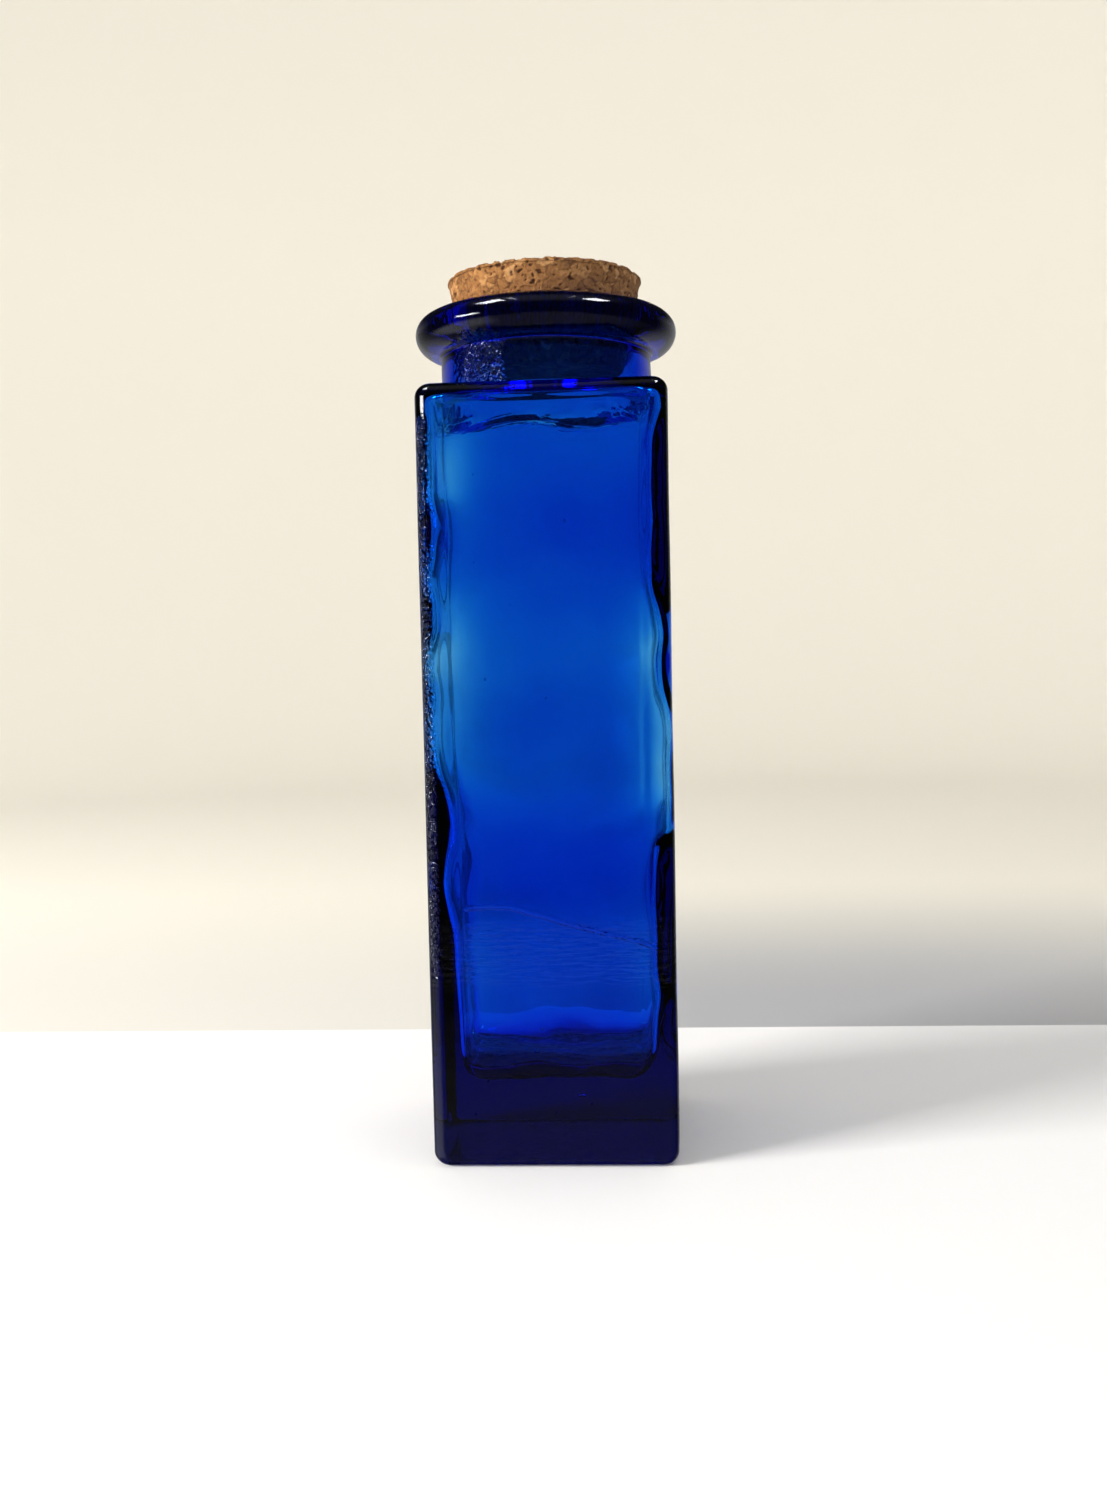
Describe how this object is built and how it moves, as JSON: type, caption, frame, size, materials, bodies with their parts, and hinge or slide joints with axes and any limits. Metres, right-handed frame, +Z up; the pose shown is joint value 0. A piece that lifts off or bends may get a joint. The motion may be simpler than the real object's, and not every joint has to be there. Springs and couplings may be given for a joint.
{
  "type": "square glass storage jar with cork stopper",
  "caption": "Tall square thick-walled glass storage jar with a round neck, a rolled lip and a tapered cork stopper that lifts out.",
  "frame": {"origin": "centre of the flat face that the jar stands on", "axes": "+Z up along the jar's axis; +X and +Y square to the body's flat sides, -Y at the front"},
  "size_m": [0.0904, 0.0904, 0.3],
  "materials": {
    "cobalt_glass": "clear cobalt blue glass, fire polished, with uneven inner walls and small seeds",
    "cork": "unsealed agglomerated cork with dark pits and worn edges"
  },
  "bodies": {
    "jar": {"glass_jar": "cobalt_glass"},
    "stopper": {"cork_stopper": "cork"}
  },
  "joints": [
    {"name": "stopper_lift", "type": "slide", "parent": "jar", "child": "stopper", "axis": [0, 0, 1], "range_m": [0, 0.1]}
  ]
}
